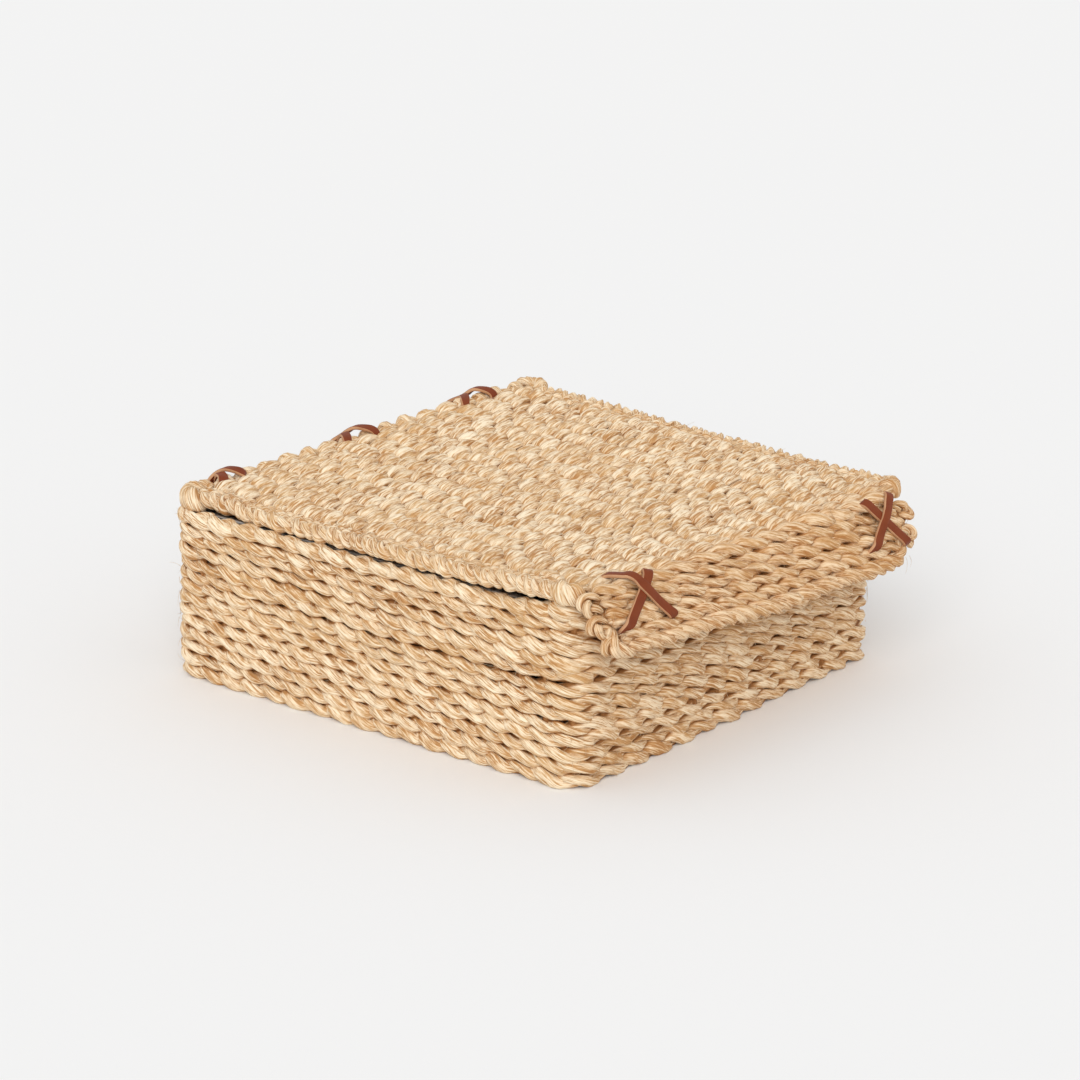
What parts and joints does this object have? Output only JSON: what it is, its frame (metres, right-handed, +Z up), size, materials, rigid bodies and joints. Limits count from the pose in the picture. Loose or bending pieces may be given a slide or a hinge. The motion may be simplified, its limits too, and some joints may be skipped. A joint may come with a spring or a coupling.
{
  "type": "napkin holder",
  "caption": "Low rectangular twined-fibre box with a leather-laced hinged lid and a short laced flap that hangs over its front wall.",
  "frame": {"origin": "centre of the basket's underside, at the level it stands on", "axes": "+X along the flap side to the right, +Y towards the hinge side, +Z up"},
  "size_m": [0.2108, 0.2266, 0.0777],
  "materials": {
    "twined_fibre": "matte",
    "lace_leather": "satin",
    "steel_wire": "satin"
  },
  "bodies": {
    "basket": {"base_mat": "twined_fibre", "wall_course_01": "twined_fibre", "wall_course_02": "twined_fibre", "wall_course_03": "twined_fibre", "wall_course_04": "twined_fibre", "wall_course_05": "twined_fibre", "wall_course_06": "twined_fibre", "wall_course_07": "twined_fibre", "wall_course_08": "twined_fibre", "wall_course_09": "twined_fibre", "wall_course_10": "twined_fibre", "wall_course_11": "twined_fibre", "wall_course_12": "twined_fibre", "wall_course_13": "twined_fibre", "rim_border": "twined_fibre", "frame_base_ring": "steel_wire", "frame_rim_ring": "steel_wire", "frame_post_front_left": "steel_wire", "frame_post_front_right": "steel_wire", "frame_post_back_left": "steel_wire", "frame_post_back_right": "steel_wire", "hinge_lace_left": "lace_leather", "hinge_lace_middle": "lace_leather", "hinge_lace_right": "lace_leather"},
    "lid": {"lid_mat": "twined_fibre", "lid_selvedge_left": "twined_fibre", "lid_selvedge_right": "twined_fibre", "lid_back_border": "twined_fibre", "lid_front_row": "twined_fibre"},
    "flap": {"flap_top_row": "twined_fibre", "flap_mat": "twined_fibre", "flap_selvedge_left": "twined_fibre", "flap_selvedge_right": "twined_fibre", "flap_border": "twined_fibre", "flap_lace_left": "lace_leather", "flap_lace_right": "lace_leather"}
  },
  "joints": [
    {"name": "lid_hinge", "type": "hinge", "parent": "basket", "child": "lid", "pos_m": [0.012, 0.0985, 0.0683], "axis": [-0.9994, 0.0349, 0], "range_deg": [0, 110], "deforming": ["hinge_lace_left", "hinge_lace_middle", "hinge_lace_right"]},
    {"name": "flap_fold", "type": "hinge", "parent": "lid", "child": "flap", "pos_m": [-0.00065, -0.10608, 0.07061], "axis": [-0.999, 0.0349, 0.0262], "range_deg": [-10, 64], "deforming": ["flap_lace_left", "flap_lace_right"]}
  ]
}
